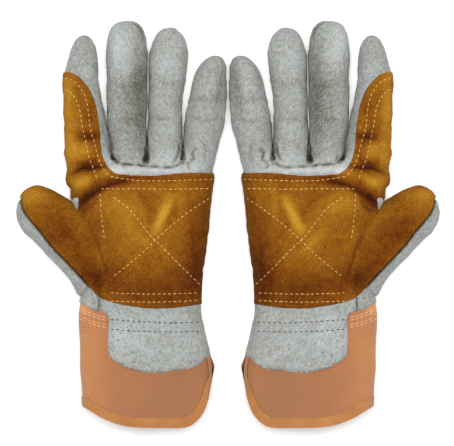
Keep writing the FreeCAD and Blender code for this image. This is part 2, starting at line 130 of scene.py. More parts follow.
# The lower edge of the grey leather on the palm side: along the cuff's top, then round the wrist patch.
PALM_EDGE = [
    (150, 106), (98.2, 82.6), (88, 77.6), (79.6, 74.4), (79.5, 62), (79.3, 51.4), (77, 46.1), (71.6, 42.4),
    (65, 39.4), (55.1, 37.2), (45.1, 36.6), (35.2, 38.4), (25.2, 39.3), (18.6, 42.1), (12.6, 46.8), (-30, 48),
]
# The hem of the cuff, which turns up its little-finger side.
HEM = [
    (140, 33), (95.5, 13.6), (84.9, 7.4), (76.3, 3.6), (68.3, 1.3), (58.4, 0.3), (43, 0), (28.5, 0.2), (21.9, 3.4),
    (16.6, 9.6), (13.3, 18.2), (11.5, 28.2), (9, 41.5), (6, 60),
]

# ---- sizes, in mm

# The grid that a skin is worked out on, how it fills out from its outline, and how far inside that it starts.
PITCH = 0.8
PLAN_LOW, PLAN_HIGH = (-3.0, -24.0), (143.0, 274.0)
LAYERS = (-1.6, 36.0)
FADE = 1 / 9
HOLD = 3.0
RIM = 0.055
# The height of each skin's middle, and how far it swells above and below that. It turns flat at FLOOR, how sharply is
# FLOOR_TURN, and nothing comes below ABOVE_FLOOR.
PALM = {"mid": 13.6, "top": 17.0, "low": 15.0}
TIPS = {"mid": 11.6, "top": 16.4}
TIPS_FROM, TIPS_TO = 175, 250
THUMB_SIZE = {"mid": 12.0, "top": 17.0, "low": 15.0}
FLOOR = 0.35
FLOOR_TURN = 0.12
ABOVE_FLOOR = 0.05
# Thicknesses. The gold patch stands PATCH above the leather, and its edge sinks PATCH_SINK into it.
LEATHER = 1.5
PATCH = 1.2
PATCH_SINK = 0.2
CLOTH = 1.6
TAPE = 0.4
# The cuff: how far inside the leather it lies, its upper edge, its tape, and the split up its side.
CLOTH_DROP = 1.3
CLOTH_TOP = 96.0
BINDING_WIDTH = 6.4
BACK_FLAP = 2.4
SLIT = 2.4
SLIT_Z = 13.6
SLIT_TOP = 47.0
# Below SIDE_Z is the back of the hand, where the grey leather starts at BACK_EDGE.
SIDE_Z = 13.0
BACK_EDGE = 80.0
# The elastic across the back of the wrist, and the gathers that it makes.
ELASTIC_V = 90.0
GATHER_DEPTH = 0.42
GATHER_PITCH = 5.5
GATHER_REACH = 6.0
# Seams and the grooves under stitching: width, depth.
ROOT_GROOVE = (0.8, 1.5)
KNUCKLE_GROOVE = (0.9, 1.3)
SIDE_GROOVE = (0.7, 0.6)
STITCH_GROOVE = (1.1, 0.4)
# How much darker a mm of fold makes the grey and the gold: painted shade in creases and seams, and painted highlight
# on ridges, which count the other way.
FOLD_SHADE = 1.1
GOLD_FOLD_SHADE = 0.6
# Between fingers: where their facing sides are drawn together, from how wide a gap, to what gap, and how dark the
# painted shade on them is.
GAP_FROM = 177.0
GAP_REACH = 3.0
GAP_LEFT = (0.1, 0.8)
GAP_WIDENS = (195, 208)
GAP_SHADE = 1.7
GAP_SHADE_REACH = 2.2

# Where the fingers' pieces start. For each finger: where the bend at its root ends, where its two pieces meet, and
# where the bend at its middle starts and ends.
ROOT_CUT = 185.0
FOLDS = {
    "index": (203.0, 205.5, 208.0, 226.0),
    "middle": (203.0, 208.0, 213.0, 231.0),
    "ring": (203.0, 206.5, 210.0, 228.0),
    "little": (199.0, 201.5, 204.0, 218.0),
}
WRIST_BEND = (79.0, 61.0)
# The thumb: its tip, the way back from there to its root, and the cut and the bend as distances along that way.
THUMB_TIP = np.array((135.8, 156.9))
THUMB_BACK = -np.array((math.sin(math.radians(44.5)), math.cos(math.radians(44.5))))
THUMB_CUT = 27.0
THUMB_BEND = (27.0, 20.0)
# The line that the thumb's root turns about, the way out from it, and its bend as distances along that way.
HINGE = np.array(((98.0, 84.0), (104.0, 150.0)))
HINGE_OUT = np.array((HINGE[1, 1] - HINGE[0, 1], HINGE[0, 0] - HINGE[1, 0])) / math.dist(*HINGE)
HINGE_BEND = (-14.0, 0.5)


# ---- lines and outlines


def curve(points, closed=True, steps=5):
    """A smooth line through given points."""
    p = np.array(points, float)
    if closed:
        before, after = np.roll(p, 1, 0), np.roll(p, -1, 0)
    else:
        before, after = np.vstack((p[:1], p[:-1])), np.vstack((p[1:], p[-1:]))
    slope = (after - before) / 2
    out = []
    for i in range(len(p) if closed else len(p) - 1):
        j = (i + 1) % len(p)
        a, b, sa, sb = p[i], p[j], slope[i], slope[j]
        reach = np.linalg.norm(b - a)
        sa, sb = (s * min(1, 1.2 * reach / max(np.linalg.norm(s), 1e-9)) for s in (sa, sb))
        for t in np.arange(steps) / steps:
            out.append(
                (2 * t**3 - 3 * t**2 + 1) * a + (t**3 - 2 * t**2 + t) * sa
                + (3 * t**2 - 2 * t**3) * b + (t**3 - t**2) * sb
            )
    return np.array(out if closed else out + [p[-1]])


def nearest(plan, line):
    """Distance to a line, and how far along it, in mm, the nearest place is."""
    best, where, run = np.full(len(plan), 1e9), np.zeros(len(plan)), 0.0
    for a, b in zip(line[:-1], line[1:]):
        e = b - a
        long = e @ e
        if long < 1e-12:
            continue
        t = np.clip(((plan - a) @ e) / long, 0, 1)
        d = ((plan - a - t[:, None] * e) ** 2).sum(1)
        closer = d < best
        best[closer] = d[closer]
        where[closer] = run + t[closer] * math.sqrt(long)
        run += math.sqrt(long)
    return np.sqrt(best), where


def inside(plan, outline):
    """Distance to a closed outline, positive inside it."""
    line = np.vstack((outline, outline[:1]))
    odd = np.zeros(len(plan), bool)
    x, y = plan.T
    for (ax, ay), (bx, by) in zip(line[:-1], line[1:]):
        if ay != by:
            odd ^= ((ay > y) != (by > y)) & (x < ax + (y - ay) / (by - ay) * (bx - ax))
    distance, _ = nearest(plan, line)
    return np.where(odd, distance, -distance)


def ease(x, low, high):
    """From 0 at low to 1 at high, smooth at both ends."""
    t = np.clip((x - low) / (high - low), 0, 1)
    return t * t * (3 - 2 * t)


def lumps(place, size, seed, waves=28):
    """Gentle bumps of about one size all over, mostly between -1 and 1."""
    rng = np.random.default_rng(seed)
    way = rng.normal(size=(waves, 3))
    way *= (2 * math.pi / size * rng.uniform(0.6, 1.5, waves) / np.linalg.norm(way, axis=1))[:, None]
    return np.sin(place @ way.T + rng.uniform(0, 2 * math.pi, waves)).sum(1) * math.sqrt(2 / waves) * 0.7


# ---- from outline to skin


def plan_grid():
    """The grid over the plan: its u and v values, and all its points."""
    us = np.arange(PLAN_LOW[0], PLAN_HIGH[0], PITCH)
    vs = np.arange(PLAN_LOW[1], PLAN_HIGH[1], PITCH)
    return us, vs, np.stack(np.meshgrid(us, vs, indexing="ij"), -1).reshape(-1, 2)


def puff(cover):
    """How full the glove is over the plan: 0 at an outline, rising to 1 well inside it, as in a blown-up shape."""
    hold = FADE**2 + HOLD * (1 - cover)
    step = 1 / PITCH**2

    def spread(u):
        out = (hold + 4 * step) * u
        out[1:] -= step * u[:-1]
        out[:-1] -= step * u[1:]
        out[:, 1:] -= step * u[:, :-1]
        out[:, :-1] -= step * u[:, 1:]
        return out

    u = cover.copy()
    rest = cover * FADE**2 - spread(u)
    scale = hold + 4 * step
    way = rest / scale
    size = (rest * way).sum()
    for _ in range(400):
        pushed = spread(way)
        gain = size / (way * pushed).sum()
        u += gain * way
        rest -= gain * pushed
        ready = rest / scale
        new = (rest * ready).sum()
        if new < 1e-9:
            break
        way = ready + new / size * way
        size = new
    return u


def nets(field, corner):
    """The surface where a field on a grid is zero, as points and outward quads."""
    solid = field > 0
    shape = np.array(field.shape)
    corners = [np.array(c) for c in np.ndindex(2, 2, 2)]
    many = sum(solid[tuple(slice(i, n - 1 + i) for i, n in zip(c, shape))].astype(np.int8) for c in corners)
    cells = np.argwhere((many > 0) & (many < 8))
    values = {tuple(c): field[tuple((cells + c).T)] for c in corners}
    total, hits = np.zeros((len(cells), 3)), np.zeros(len(cells))
    for c in corners:
        for axis in range(3):
            if c[axis]:
                continue
            other = c.copy()
            other[axis] = 1
            a, b = values[tuple(c)], values[tuple(other)]
            cross = (a > 0) != (b > 0)
            t = np.where(cross, a / np.where(cross, a - b, 1), 0)
            spot = np.repeat(c[None].astype(float), len(cells), 0)
            spot[:, axis] = t
            total += spot * cross[:, None]
            hits += cross
    points = corner + PITCH * (cells + total / hits[:, None])
    number = np.full(shape - 1, -1)
    number[tuple(cells.T)] = np.arange(len(cells))
    quads = []
    for axis in range(3):
        one, two = (axis + 1) % 3, (axis + 2) % 3
        first = np.moveaxis(solid, axis, 0)
        cross = np.moveaxis(first[:-1] != first[1:], 0, axis)
        spots = np.argwhere(cross)
        beside = spots[:, [one, two]]
        spots = spots[((beside > 0) & (beside < shape[[one, two]] - 1)).all(1)]
        step = np.zeros((4, 3), int)
        step[:, one], step[:, two] = (0, 1, 1, 0), (0, 0, 1, 1)
        quad = np.stack([number[tuple((spots - s).T)] for s in step], 1)
        leaving = solid[tuple(spots.T)]
        quads.append(np.where(leaving[:, None], quad, quad[:, ::-1]))
    return points, np.vstack(quads)


def relax(points, quads, rounds):
    """Evens out a skin without shrinking it."""
    a = np.concatenate([quads[:, i] for i in range(4)])
    b = np.concatenate([quads[:, (i + 1) % 4] for i in range(4)])
    start, end = np.concatenate((a, b)), np.concatenate((b, a))
    many = np.bincount(start, minlength=len(points))[:, None]
    for _ in range(rounds):
        for share in (0.5, -0.52):
            mean = np.stack([np.bincount(start, points[end, i], len(points)) for i in range(3)], 1) / many
            points = points + share * (mean - points)
    return points


def column(which):
    """A property of a skin: one column of its data, or a few."""
    return property(lambda skin: skin.data[:, which])


class Skin:
    """Triangles, with a place, a normal and a tone at each point. A tone of 0 is the plain colour."""

    place, plan, z = column(slice(0, 3)), column(slice(0, 2)), column(2)
    # The tone holds colour marks, and painted shade and painted highlights as well.
    normal, tone = column(slice(3, 6)), column(6)

    def __init__(self, data, faces):
        self.data, self.faces = data, faces

    def copy(self):
        return Skin(self.data.copy(), self.faces)

    def carrying(self, *more):
        """This skin with more columns of values, from column 7 on, which a cut shares out like the rest."""
        return Skin(np.column_stack((self.data, *more)), self.faces)

    def plain(self):
        """This skin without the columns that it carried."""
        return Skin(self.data[:, :7].copy(), self.faces)

    def renormal(self):
        """Works the normals out again from the faces."""
        p = self.place[self.faces]
        face = np.cross(p[:, 1] - p[:, 0], p[:, 2] - p[:, 0])
        for i in range(3):
            self.data[:, 3 + i] = sum(np.bincount(self.faces[:, c], face[:, i], len(self.data)) for c in range(3))
        length = np.linalg.norm(self.normal, axis=1)
        self.data[:, 3:6] /= np.maximum(length, 1e-12)[:, None]
        return self

    def raised(self, height):
        """Pushed out along its normals by a height at each point."""
        out = self.copy()
        out.data[:, :3] += out.normal * np.broadcast_to(height, len(out.data))[:, None]
        return out.renormal()

    def clip(self, keep):
        """The part where keep is above zero, cut cleanly along the line where it is zero."""
        corners = keep[self.faces] > 0
        many = corners.sum(1)
        split = (many == 1) | (many == 2)
        part, held = self.faces[split], corners[split]
        single = held.sum(1) == 1
        odd = np.where(single, held.argmax(1), (~held).argmax(1))
        part = part[np.arange(len(part))[:, None], (odd[:, None] + np.arange(3)) % 3]
        pairs = np.sort(np.vstack((part[:, [0, 1]], part[:, [0, 2]])), 1)
        key, back = np.unique(pairs[:, 0] * len(self.data) + pairs[:, 1], return_inverse=True)
        a, b = key // len(self.data), key % len(self.data)
        t = (keep[a] / (keep[a] - keep[b]))[:, None]
        data = np.vstack((self.data, self.data[a] * (1 - t) + self.data[b] * t))
        first, second = len(self.data) + back[: len(part)], len(self.data) + back[len(part) :]
        one = np.stack((part[:, 0], first, second), 1)[single]
        two = np.stack((first, part[:, 1], part[:, 2]), 1)[~single]
        three = np.stack((first, part[:, 2], second), 1)[~single]
        faces = np.vstack((self.faces[many == 3], one, two, three))
        used = np.unique(faces)
        number = np.zeros(len(data), int)
        number[used] = np.arange(len(used))
        data = data[used]
        data[:, 3:6] /= np.maximum(np.linalg.norm(data[:, 3:6], axis=1), 1e-12)[:, None]
        return Skin(data, number[faces])

    def border(self):
        """The edges that only one face has, in that face's direction."""
        edges = np.vstack([self.faces[:, [i, (i + 1) % 3]] for i in range(3)])
        key = np.sort(edges, 1) @ np.array((len(self.data), 1))
        _, where, many = np.unique(key, return_index=True, return_counts=True)
        return edges[where[many == 1]]

    def thick(self, up, down):
        """A shell: this skin moved out and in along its normals, closed round its border."""
        outer, inner = self.data.copy(), self.data.copy()
        outer[:, :3] += self.normal * up
        inner[:, :3] -= self.normal * down
        inner[:, 3:6] *= -1
        rim, count = self.border(), len(self.data)
        sides = np.vstack((
            np.stack((rim[:, 1], rim[:, 0], rim[:, 0] + count), 1),
            np.stack((rim[:, 1], rim[:, 0] + count, rim[:, 1] + count), 1),
        ))
        return Skin(np.vstack((outer, inner)), np.vstack((self.faces, self.faces[:, ::-1] + count, sides)))


def blown(fullness, mid, top, low):
    """The skin around a fullness map: its middle height, and how far it swells up and down, over the plan."""
    heights = np.arange(*LAYERS, PITCH)
    z = heights[None, None] - mid[..., None]
    swell = np.where(z > 0, z / top[..., None], z / low)
    field = np.minimum(fullness[..., None] - RIM - swell**2, (heights - FLOOR) * FLOOR_TURN)
    points, quads = nets(field, np.array((*PLAN_LOW, heights[0])))
    points = relax(points, quads, 6)
    points[:, 2] = np.maximum(points[:, 2], FLOOR)
    data = np.zeros((len(points), 7))
    data[:, :3] = points
    return Skin(data, np.vstack((quads[:, [0, 1, 2]], quads[:, [0, 2, 3]]))).renormal()


# ---- folds and seams

# Each crease: its width, its depth, and the line it follows. It fades out at both ends.
CREASES = [
    (1.0, 2.2, [(78.2, 188), (77.4, 183), (76, 179.6), (73, 176.4)]),
    (1.0, 2.2, [(54.5, 187), (54.3, 182), (54.2, 178.4), (52.6, 175)]),
    (0.9, 1.3, [(54.6, 181), (55.4, 177), (54.4, 174)]),
    (1.0, 1.8, [(29.9, 188), (29.5, 181.6), (29.2, 177.4), (30.6, 174)]),
    (1.0, 1.5, [(36.6, 175.6), (34, 179), (32, 184), (31.4, 189)]),
    (1.1, 1.2, [(20.6, 186), (23.6, 182), (23, 178.6), (26, 175)]),
    (1.0, 0.9, [(26, 177.6), (26.4, 173.4), (24, 171)]), (1.3, 0.5, [(16.4, 192), (14.4, 184), (15.4, 176)]),
    (1.0, 1.0, [(73.6, 181.6), (72, 178.2), (73.6, 174.6)]),
    (2.0, 1.8, [(100, 144.6), (96.4, 148), (90.6, 153.4), (80.4, 159.6), (66, 163.6)]),
    (1.2, 1.2, [(104, 147), (98, 150), (92, 156)]), (1.5, 1.6, [(106, 166.6), (96, 171.6), (88, 172), (79, 173.6)]),
    (1.6, 0.9, [(101, 176), (94, 175), (86, 178)]), (2.2, 0.9, [(83, 193.4), (90, 193), (99, 191.6)]),
    (0.8, 1.0, [(64, 268.8), (60, 266.6), (57, 262.6), (55.4, 257)]),
    (1.6, 0.7, [(97, 141.6), (91, 146), (86, 152)]), (1.2, 0.7, [(88, 128), (83, 112), (78, 98)]),
    (3.0, 0.6, [(60, 157), (52, 146), (50, 134)]), (3.0, 0.7, [(34, 158), (36, 146), (42, 133)]),
    (2.0, 0.5, [(86, 103), (84, 94), (86, 86)]), (0.7, 1.4, [(85.6, 88), (85.4, 82), (85.6, 76)]),
    (2.2, 0.5, [(24, 130), (22, 112), (24, 98)]), (1.6, 0.4, [(62, 205), (68, 203.6), (75, 205)]),
    (1.8, 0.4, [(60, 228), (67, 226), (76, 228.6)]), (1.6, 0.4, [(36, 206), (42, 204.4), (50, 206.6)]),
    (1.8, 0.4, [(31, 230), (40, 227.6), (49, 229.6)]), (1.6, 0.4, [(7, 205), (15, 203), (25, 206)]),
    (1.8, 0.4, [(5, 220), (13, 217), (23, 219)]),
]
THUMB_CREASES = [
    (2.0, 0.6, [(104, 148), (98, 142), (94, 134)]), (2.4, 0.5, [(122, 146), (118, 140), (118, 133)]),
    (2.2, 0.5, [(108, 130), (104, 122), (104, 114)]), (1.8, 0.4, [(97, 126), (92, 118), (90, 108)]),
]
# Ridges between folds.
RIDGES = [
    (4.6, 1.0, [(36, 156), (39, 148), (44, 138), (49.6, 128)]),
    (5.0, 0.9, [(88, 163), (80, 168), (70, 170)]),
    (4.0, 0.8, [(102, 159), (96, 161.6), (88, 164)]),
    (4.0, 0.6, [(98, 184), (93, 184), (87, 183)]),
]
# The seam under the middle and ring fingers, and the one across the knuckles on the back.
ROOT_SEAM = [
    (77, 181), (75.6, 177), (71, 174.8), (61, 174), (51.7, 173.4), (41, 172.6), (34.6, 173.4), (31, 177), (30.2, 183),
]
KNUCKLE_SEAM = [(103, 158), (90, 165), (72, 169), (50, 169.6), (30, 167), (13, 160)]


def crease(skin, lines, sign=-1.0):
    """How far folds, on the palm side only, move a skin in or out."""
    move = np.zeros(len(skin.data))
    facing = ease(skin.normal[:, 2], 0.0, 0.5)
    for width, depth, line in lines:
        path = curve(line, closed=False)
        near, run = nearest(skin.plan, path)
        length = np.linalg.norm(np.diff(path, axis=0), axis=1).sum()
        fade = np.sqrt(np.clip(np.sin(math.pi * np.clip(run / length, 0, 1)), 0, 1))
        move += sign * depth * np.exp(-((near / width) ** 2)) * fade * facing
    return move


def groove(skin, line, width, depth, face=1):
    """How far a seam moves a skin in, the same from end to end. face is 1 on the palm side and -1 on the back."""
    near, _ = nearest(skin.plan, curve(line, closed=False))
    return -depth * np.exp(-((near / width) ** 2)) * ease(face * skin.normal[:, 2], 0.0, 0.4)


# ---- stitching

ROWS = {
    "palm": [
        [(78.3, 166.4), (62, 164), (45, 163.4), (26, 164), (9.8, 164.6)],
        [(84.6, 158.2), (60, 158.2), (34, 158), (10.4, 158.6)],
        [(84.6, 155.8), (84, 146.9), (82.9, 134), (81.4, 123)],
        [(76.4, 152.9), (65, 144.6), (51.7, 127.7), (42.6, 119), (31.6, 107.6), (18.2, 94.4)],
        [(11.8, 152.6), (27.6, 141.6), (43.4, 128.6), (58, 114.6), (75.4, 100.4)],
        [(78.3, 89.4), (48, 88.6), (18.4, 89.4)],
        [(81.6, 84.3), (50, 83.2), (18.4, 84.4)],
    ],
    "index": [
        [
            (109, 231.4), (104.2, 230.8), (99.5, 227.4), (96.2, 222.6), (93.5, 215.9), (92.2, 207.3), (90.9, 197.4),
            (88.4, 188.7), (86.9, 182.8), (84.9, 176.1), (82.4, 171.6), (78.9, 166.8),
        ],
        [
            (108.6, 224.6), (104.8, 222.6), (101.5, 218.8), (98.8, 213.3), (97.5, 207.3), (96.2, 199.3),
            (94.4, 190.7), (92.9, 182.8), (90.9, 176.1), (88.2, 169.5), (86.2, 162.9),
        ],
    ],
    "wrist": [
        [(78, 71.8), (60, 70.6), (40, 69.6), (19, 70)],
        [(78, 65.4), (60, 64.2), (40, 63.6), (18, 64)],
    ],
    "cuff": [
        [(99.4, 79.4), (90, 75.6), (80.6, 73)],
        [(99.4, 77.6), (90, 73.8), (80.6, 71.2)],
        [(99.4, 74.2), (90, 70.6), (80.6, 68.4)],
        [(99.4, 72.4), (90, 68.8), (80.6, 66.6)],
    ],
}

# Each stitch is a row of rings, closed at both ends.
STITCH_RINGS = 6
STITCH_ROUND = 6
STITCH_POINTS = STITCH_RINGS * STITCH_ROUND
STITCH_FACES = 2 * STITCH_ROUND * (STITCH_RINGS - 1) + 2 * (STITCH_ROUND - 2)


def dashes(line, length, gap):
    """Where each stitch along a line starts and ends."""
    path = curve(line, closed=False, steps=12)
    run = np.concatenate(((0,), np.cumsum(np.linalg.norm(np.diff(path, axis=0), axis=1))))
    starts = np.arange(gap / 2, run[-1] - length, length + gap)
    ends = np.stack((starts, starts + length), 1)
    return np.stack([np.interp(ends, run, path[:, i]) for i in range(2)], -1)


def threads(ground, rows, seed, length=2.0, gap=1.45, radius=0.26):
    """Stitches of thread laid on a skin along rows, as one skin."""
    rng = np.random.default_rng(seed)
    tree = BVHTree.FromPolygons(ground.place.tolist(), ground.faces.tolist())
    rings, around = STITCH_RINGS, STITCH_ROUND
    data, faces = [], []
    for row in rows:
        for a, b in dashes(row, length, gap):
            a, b = a + rng.normal(0, 0.08, 2), b + rng.normal(0, 0.08, 2)
            spine, ups = [], []
            for t in np.linspace(0, 1, rings):
                hit, up, *_ = tree.ray_cast(Vector((*(a + (b - a) * t), 80)), Vector((0, 0, -1)))
                if hit is None:
                    break
                arch = math.sin(math.pi * t)
                spine.append(np.array(hit) + np.array(up) * radius * (1.6 * arch - 1.1))
                ups.append(up)
            if len(spine) < rings:
                continue
            spine = np.array(spine)
            ahead = np.gradient(spine, axis=0)
            ahead /= np.linalg.norm(ahead, axis=1)[:, None]
            side = np.cross(ahead, ups)
            side /= np.linalg.norm(side, axis=1)[:, None]
            ups = np.cross(side, ahead)
            base = sum(len(d) for d in data)
            turn = np.arange(around) * 2 * math.pi / around
            out = side[:, None] * np.cos(turn)[None, :, None] + ups[:, None] * np.sin(turn)[None, :, None]
            block = np.zeros((rings * around, 7))
            block[:, :3] = (spine[:, None] + out * radius).reshape(-1, 3)
            block[:, 3:6] = out.reshape(-1, 3)
            block[:, 6] = rng.normal(0, 0.25)
            data.append(block)
            for r in range(rings - 1):
                for k in range(around):
                    p, q = base + r * around + k, base + r * around + (k + 1) % around
                    faces += [(p, q + around, q), (p, p + around, q + around)]
            last = base + (rings - 1) * around
            for k in range(1, around - 1):
                faces += [(base, base + k, base + k + 1), (last, last + k + 1, last + k)]
    return Skin(np.vstack(data), np.array(faces))


# ---- one glove's skins

# Soft marks of tone: the centre, the reach along and across, the turn in degrees, and the strength. Below zero, the
# leather is darker, and gold suede is redder too. Above zero it is paler or yellower. The marks are partly the
# leather's own colour, and partly painted shade where folds and finger sides fall dark, and painted highlight where
# ridges and lit sides catch the light.
GOLD_MARKS = [
    (93, 193, 8, 4, 8, -0.6), (92, 172.4, 10, 3.4, 0, -0.8), (96, 149, 6, 6, 0, -0.6), (91, 156, 9, 4, -34, -0.9),
    (76, 163, 13, 4, -6, -0.6), (60, 165, 22, 3, 0, -0.4), (30, 166, 24, 3, 0, -0.3), (80, 102, 9, 9, 30, -0.55),
    (50, 90, 34, 12, 0, -0.7), (20, 112, 10, 34, 0, -0.7), (30, 104, 14, 14, 0, -0.3), (88, 98, 5, 8, 0, -0.6),
    (91, 212, 4, 16, 14, -0.4), (89, 184, 5, 9, 0, -0.4), (14, 150, 5, 16, 0, -0.3), (92, 122, 4, 14, 14, -0.3),
    (106, 215, 4, 26, 0, 0.8), (104, 180, 5, 16, 0, 0.6), (72, 147, 12, 8, 20, 0.5), (43, 140, 15, 3, -60, 0.8),
    (55, 122, 12, 3, 44, 0.4), (31, 148, 3, 10, 0, 0.3), (97, 184, 6, 5, 0, 0.5), (97, 163, 8, 3, -20, 0.5),
    (62, 134, 12, 12, 0, 0.15),
]
THUMB_MARKS = [
    (132, 153, 8, 6, 0, 0.6), (122, 155, 10, 4, 20, 0.2), (112, 128, 16, 12, 45, -0.6), (96, 108, 12, 10, 45, -0.5),
    (88, 98, 10, 8, 45, -0.6), (100, 140, 9, 4, 50, 0.1), (104, 132, 20, 7, 45, -0.2),
]
# The grey marks paint shade down the inner side of the fingers and highlights on their lit sides and tips.
GREY_MARKS = [
    (18, 128, 8, 30, 0, -0.4), (70, 60, 10, 12, 0, 0.3), (40, 176, 30, 5, 0, 0.4), (67, 250, 7, 14, 0, 0.5),
    (52, 58, 34, 18, 0, 0.3), (56, 170.6, 34, 2.6, 0, 1.0), (75, 255, 5, 14, 0, 0.7), (46, 240, 8, 20, 0, 0.3),
    (101, 149, 4, 4, 0, 1.4), (58, 222, 6, 40, 0, -1.3), (67, 214, 6, 26, 0, -0.5), (5, 226, 4, 20, 8, -0.8),
    (29, 224, 3, 30, 4, -0.5), (81, 220, 4, 24, 0, -0.4), (90, 245, 6, 10, 0, -0.1), (22, 222, 3, 20, 8, -0.3),
]
# The cuff marks paint light on the cuff's thumb side and shade on its little-finger side.
CLOTH_MARKS = [
    (93, 40, 14, 60, 0, 0.75), (30, 30, 24, 40, 0, -0.25), (96, 79, 5, 4, 0, 0.9), (18, 25, 6, 20, 0, 0.2),
]
# Empty needle holes in the wrist patch.
NEEDLE_HOLES = [
    (76, 60), (72.5, 58), (75.4, 53.8), (63, 50), (68.8, 48.2), (62, 43.6), (46, 45.4), (70.8, 63), (52, 41.6),
]


def spots(plan, marks):
    """The tone that soft marks give a plan."""
    tone = np.zeros(len(plan))
    for u, v, long, wide, turn, strength in marks:
        c, s = math.cos(math.radians(turn)), math.sin(math.radians(turn))
        du, dv = (plan - (u, v)).T
        tone += strength * np.exp(-(((du * c + dv * s) / long) ** 2) - ((dv * c - du * s) / wide) ** 2)
    return tone


def bodies_of_glove():
    """The two blown-up skins of a glove: the hand with its cuff, and the thumb."""
    us, vs, plan = plan_grid()
    shape = (len(us), len(vs))

    def puffed(distance):
        return puff(np.clip(distance / PITCH + 0.5, 0, 1).reshape(shape))

    body = inside(plan, curve(BODY))
    fullness = np.max([puffed(np.maximum(body, inside(plan, curve(DIGITS[f])))) for f in FINGERS], axis=0)
    tips = ease(plan[:, 1].reshape(shape), TIPS_FROM, TIPS_TO)
    mid, top = (PALM[key] + (TIPS[key] - PALM[key]) * tips for key in ("mid", "top"))
    hand = blown(fullness, mid, top, PALM["low"])
    mid, top = (np.full(shape, THUMB_SIZE[key]) for key in ("mid", "top"))
    return hand, blown(puffed(inside(plan, curve(THUMB))), mid, top, THUMB_SIZE["low"])


def bulge(edge, reach):
    """From 0 at an edge up to 1, round like the edge of soft leather."""
    t = np.clip(edge / reach, 0, 1)
    return np.sqrt(1 - (1 - t) ** 2)


def side_seam(skin):
    """Height above the seam that runs round the hand between its palm and its back."""
    return skin.z - (PALM["mid"] - 3 - 2 * ease(skin.plan[:, 1], 180, 240))


def wrinkled(skin, seed):
    """Leather's soft lumps, larger on the palm side."""
    up = ease(skin.normal[:, 2], -0.4, 0.4)
    return (
        (0.2 + 0.25 * up) * lumps(skin.place, 26, seed) + (0.1 + 0.1 * up) * lumps(skin.place, 9, seed + 1)
        + 0.05 * lumps(skin.place, 3.4, seed + 2)
    )


def close_gaps(leather):
    """Brings the facing sides of neighbouring fingers almost together, and paints shade on them there.

    Gives back how far inside each finger's outline each point was before that.
    """
    near = np.flatnonzero(leather.plan[:, 1] > GAP_FROM)
    plan, normal = leather.plan[near], leather.normal[near]
    depth = np.zeros((len(leather.data), len(FINGERS)))
    depth[near] = np.stack([inside(plan, curve(DIGITS[f])) for f in FINGERS], 1)
    gap = -np.sort(depth[near], axis=1)[:, -2]
    facing = ease(GAP_REACH - gap, 0, GAP_REACH / 2) * ease(abs(normal[:, 0]), 0.4, 0.8)
    left = GAP_LEFT[0] + (GAP_LEFT[1] - GAP_LEFT[0]) * ease(plan[:, 1], *GAP_WIDENS)
    push = np.clip((gap - left) / 2, 0, 1.2) * facing * ease(plan[:, 1], GAP_FROM, GAP_FROM + 4)
    leather.data[near, :3] += normal * push[:, None]
    # Painted shade on the facing sides, where the narrow gap between fingers falls dark.
    leather.tone[near] -= GAP_SHADE * ease(GAP_SHADE_REACH - gap, 0, 1.6) * ease(0.9 - normal[:, 2], 0, 0.3)
    return depth


def grey_skins(hand):
    """The grey leather of the hand and the fingers, as one skin with its folds, and cut up."""
    leather = hand.raised(wrinkled(hand, 11) * ease(hand.plan[:, 1], 40, 90))
    u, v = leather.plan.T
    gather = -GATHER_DEPTH * (1 + np.sin(2 * math.pi * u / GATHER_PITCH))
    gather *= np.exp(-(((v - ELASTIC_V) / GATHER_REACH) ** 2))
    gather *= ease(-leather.normal[:, 2], 0.1, 0.7)
    uneven = 1 + 0.45 * lumps(leather.place, 7, 61)
    seams = groove(leather, ROOT_SEAM, *ROOT_GROOVE) * uneven
    seams += groove(leather, KNUCKLE_SEAM, *KNUCKLE_GROOVE, face=-1)
    width, depth = SIDE_GROOVE
    seams -= depth * np.exp(-((side_seam(leather) / width) ** 2)) * ease(v, 92, 100)
    folds = crease(leather, CREASES) + crease(leather, RIDGES, 1.0) + seams
    leather = leather.raised(folds + gather)

    # Its lower edge is raw on the palm side, and curls in to meet the cloth of the cuff.
    u, v = leather.plan.T
    palm_edge = np.vstack(([(-60, 400), (150, 400)], curve(PALM_EDGE, closed=False)))
    palm_side = np.minimum(inside(leather.plan, palm_edge), leather.z - SIDE_Z)
    edge = np.maximum(v - BACK_EDGE - 2.6 * ease(u, 60, 98), palm_side)
    edge += 0.45 * lumps(leather.place, 2.4, 41) * ease(60 - v, 0, 12)
    leather = leather.raised((LEATHER - 0.1) * (bulge(edge, 1.4) - 1) * (edge < 3))

    # Tone: the marks, painted shade in creases and seams and painted highlight on ridges; on the back, painted shade
    # in the folds and in the elastic's gathers; and dark needle holes.
    leather.tone[:] = spots(leather.plan, GREY_MARKS) + FOLD_SHADE * folds
    back = leather.z < SIDE_Z
    leather.tone[back] = FOLD_SHADE * (folds + gather)[back]
    for hole in NEEDLE_HOLES:
        leather.tone[:] -= 2.0 * np.exp(-((leather.plan - hole) ** 2).sum(1) / 0.3)
    depth = close_gaps(leather)

    out = {"hand_leather": leather.clip(np.minimum(edge, ROOT_CUT - v)).thick(0, LEATHER - 0.3)}
    upper = leather.carrying(depth).clip(v - ROOT_CUT)
    for i, finger in enumerate(FINGERS):
        own, others = upper.data[:, 7 + i], np.delete(upper.data[:, 7:], i, 1)
        whole = upper.clip(own - others.max(1)).plain()
        cut = FOLDS[finger][1] - whole.plan[:, 1]
        out[finger + "_lower"], out[finger + "_upper"] = whole.clip(cut), whole.clip(-cut)
    return leather, folds, out


